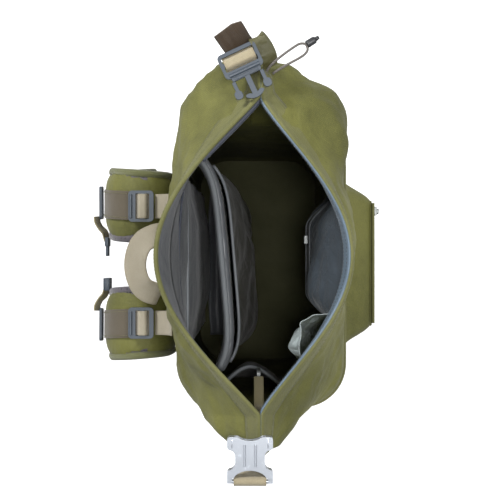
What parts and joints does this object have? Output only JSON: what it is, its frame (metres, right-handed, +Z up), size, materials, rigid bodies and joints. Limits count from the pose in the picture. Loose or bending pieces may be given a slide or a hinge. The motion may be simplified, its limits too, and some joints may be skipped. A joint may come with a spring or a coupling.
{
  "type": "roll-top backpack",
  "caption": "Soft day pack with an open roll-top mouth, padded sleeve and pockets inside, side-release buckle, zip pocket, and padded shoulder straps with sternum strap.",
  "frame": {"origin": "underside of the base, on the line between the two side seams, midway between them", "axes": "+Z up through the mouth, -Y towards the front pocket, +Y towards the wearer's back, +X towards the wearer's right"},
  "size_m": [0.4287, 0.3213, 0.58],
  "materials": {
    "shell_fabric": "coated canvas with soft creases",
    "rim_binding": "fine satin tape",
    "padding": "smooth lining over foam",
    "lining": "thin coated lining",
    "frame_plastic": "smooth sheet",
    "frame_metal": "mill finish",
    "zip_metal": "satin",
    "zip_tape": "woven tape with coil",
    "tan_webbing": "woven webbing",
    "air_mesh": "open spacer mesh",
    "brown_webbing": "woven webbing",
    "grey_plastic": "moulded, light sheen",
    "silver_plastic": "moulded, satin",
    "shock_cord": "braided sleeve",
    "black_plastic": "moulded"
  },
  "bodies": {
    "pack": {"base_panel": "shell_fabric", "front_panel": "shell_fabric", "back_panel": "shell_fabric", "side_panel_right": "shell_fabric", "side_panel_left": "shell_fabric", "collar_front": "shell_fabric", "collar_back": "shell_fabric", "front_stiffener": "rim_binding", "back_stiffener": "rim_binding", "back_lining": "padding", "frame_sheet": "frame_plastic", "frame_stay": "frame_metal", "laptop_sleeve": "padding", "document_pocket": "lining", "inner_pocket": "lining", "stash_pocket": "lining", "key_strap": "tan_webbing", "back_pad_right": "air_mesh", "back_pad_left": "air_mesh", "lumbar_pad": "air_mesh", "front_pocket": "shell_fabric", "front_zip": "zip_tape", "side_pocket_right": "shell_fabric", "side_pocket_left": "shell_fabric", "compression_strap_right": "tan_webbing", "compression_strap_left": "tan_webbing", "lifter_webbing_right": "tan_webbing", "lifter_webbing_left": "tan_webbing", "strap_webbing_right": "tan_webbing", "strap_webbing_left": "tan_webbing", "webbing_tail": "brown_webbing", "bungee_loop": "shock_cord", "bungee_toggle": "black_plastic"},
    "strap_right": {"shoulder_pad_right": "air_mesh", "strap_band_right": "brown_webbing"},
    "strap_left": {"shoulder_pad_left": "air_mesh", "strap_band_left": "brown_webbing"},
    "lifter_right": {"lifter_buckle_right": "grey_plastic", "lifter_loop_right": "tan_webbing"},
    "lifter_left": {"lifter_buckle_left": "grey_plastic", "lifter_loop_left": "tan_webbing"},
    "strap_foot_right": {"adjuster_right": "grey_plastic", "adjuster_loop_right": "tan_webbing"},
    "strap_foot_left": {"adjuster_left": "grey_plastic", "adjuster_loop_left": "tan_webbing"},
    "sternum_right": {"sternum_slider_right": "grey_plastic", "sternum_plug": "grey_plastic"},
    "sternum_left": {"sternum_slider_left": "grey_plastic", "sternum_socket": "grey_plastic"},
    "handle": {"grab_handle": "tan_webbing"},
    "socket": {"roll_socket": "silver_plastic", "roll_socket_loop": "tan_webbing"},
    "plug": {"roll_plug": "grey_plastic", "roll_plug_loop": "tan_webbing"},
    "arm_front": {"plug_arm_front": "grey_plastic"},
    "arm_back": {"plug_arm_back": "grey_plastic"},
    "front_slider": {"front_zip_slider": "zip_metal"},
    "inner_slider": {"inner_zip_slider": "zip_metal"},
    "hook": {"key_hook": "grey_plastic"},
    "gate": {"key_gate": "zip_metal"}
  },
  "joints": [
    {"name": "strap_swing_right", "type": "hinge", "parent": "pack", "child": "strap_right", "pos_m": [0.06, 0.09, 0.44], "axis": [1, 0, 0], "range_deg": [0, 12], "deforming": ["strap_webbing_right", "lifter_webbing_right"]},
    {"name": "lifter_tilt_right", "type": "hinge", "parent": "strap_right", "child": "lifter_right", "pos_m": [0.06, 0.1225, 0.461], "axis": [-1, 0, 0], "range_deg": [0, 25], "deforming": ["lifter_webbing_right"]},
    {"name": "strap_foot_tilt_right", "type": "hinge", "parent": "strap_right", "child": "strap_foot_right", "pos_m": [0.093, 0.1225, 0.1825], "axis": [-1, 0, 0], "range_deg": [0, 15], "deforming": ["strap_webbing_right"]},
    {"name": "sternum_slide_right", "type": "slide", "parent": "strap_right", "child": "sternum_right", "axis": [0.0736, 0.059, -0.9955], "range_m": [-0.012, 0.012]},
    {"name": "strap_swing_left", "type": "hinge", "parent": "pack", "child": "strap_left", "pos_m": [-0.06, 0.09, 0.44], "axis": [1, 0, 0], "range_deg": [0, 12], "deforming": ["strap_webbing_left", "lifter_webbing_left"]},
    {"name": "lifter_tilt_left", "type": "hinge", "parent": "strap_left", "child": "lifter_left", "pos_m": [-0.06, 0.1225, 0.461], "axis": [-1, 0, 0], "range_deg": [0, 25], "deforming": ["lifter_webbing_left"]},
    {"name": "strap_foot_tilt_left", "type": "hinge", "parent": "strap_left", "child": "strap_foot_left", "pos_m": [-0.093, 0.1225, 0.1825], "axis": [-1, 0, 0], "range_deg": [0, 15], "deforming": ["strap_webbing_left"]},
    {"name": "sternum_slide_left", "type": "slide", "parent": "strap_left", "child": "sternum_left", "axis": [-0.0736, 0.059, -0.9955], "range_m": [-0.012, 0.012]},
    {"name": "handle_swing", "type": "hinge", "parent": "pack", "child": "handle", "pos_m": [0, 0.0802, 0.452], "axis": [1, 0, 0], "range_deg": [-25, 10]},
    {"name": "socket_flip", "type": "hinge", "parent": "pack", "child": "socket", "pos_m": [-0.191, 0, 0.541], "axis": [0, -1, 0], "range_deg": [0, 90]},
    {"name": "plug_flip", "type": "hinge", "parent": "pack", "child": "plug", "pos_m": [0.19897, 0.01365, 0.5684], "axis": [-0.4226, 0.9063, 0], "range_deg": [0, 80]},
    {"name": "arm_front_flex", "type": "hinge", "parent": "plug", "child": "arm_front", "pos_m": [0.18078, -0.01028, 0.5702], "axis": [0, 0, -1], "range_deg": [0, 6], "stiffness_Nm_per_rad": 0.05},
    {"name": "arm_back_flex", "type": "hinge", "parent": "plug", "child": "arm_back", "pos_m": [0.16895, 0.0151, 0.5702], "axis": [0, 0, 1], "range_deg": [0, 6], "stiffness_Nm_per_rad": 0.05},
    {"name": "front_zip_slide", "type": "slide", "parent": "pack", "child": "front_slider", "axis": [-1, 0, 0], "range_m": [0, 0.115]},
    {"name": "inner_zip_slide", "type": "slide", "parent": "pack", "child": "inner_slider", "axis": [-1, 0, 0], "range_m": [0, 0.05]},
    {"name": "hook_swing", "type": "hinge", "parent": "pack", "child": "hook", "pos_m": [-0.116, -0.009, 0.452], "axis": [0, 1, 0], "range_deg": [-20, 20]},
    {"name": "gate_open", "type": "hinge", "parent": "hook", "child": "gate", "pos_m": [-0.1104, -0.009, 0.434], "axis": [0, -1, 0], "range_deg": [0, 25], "stiffness_Nm_per_rad": 0.003}
  ]
}
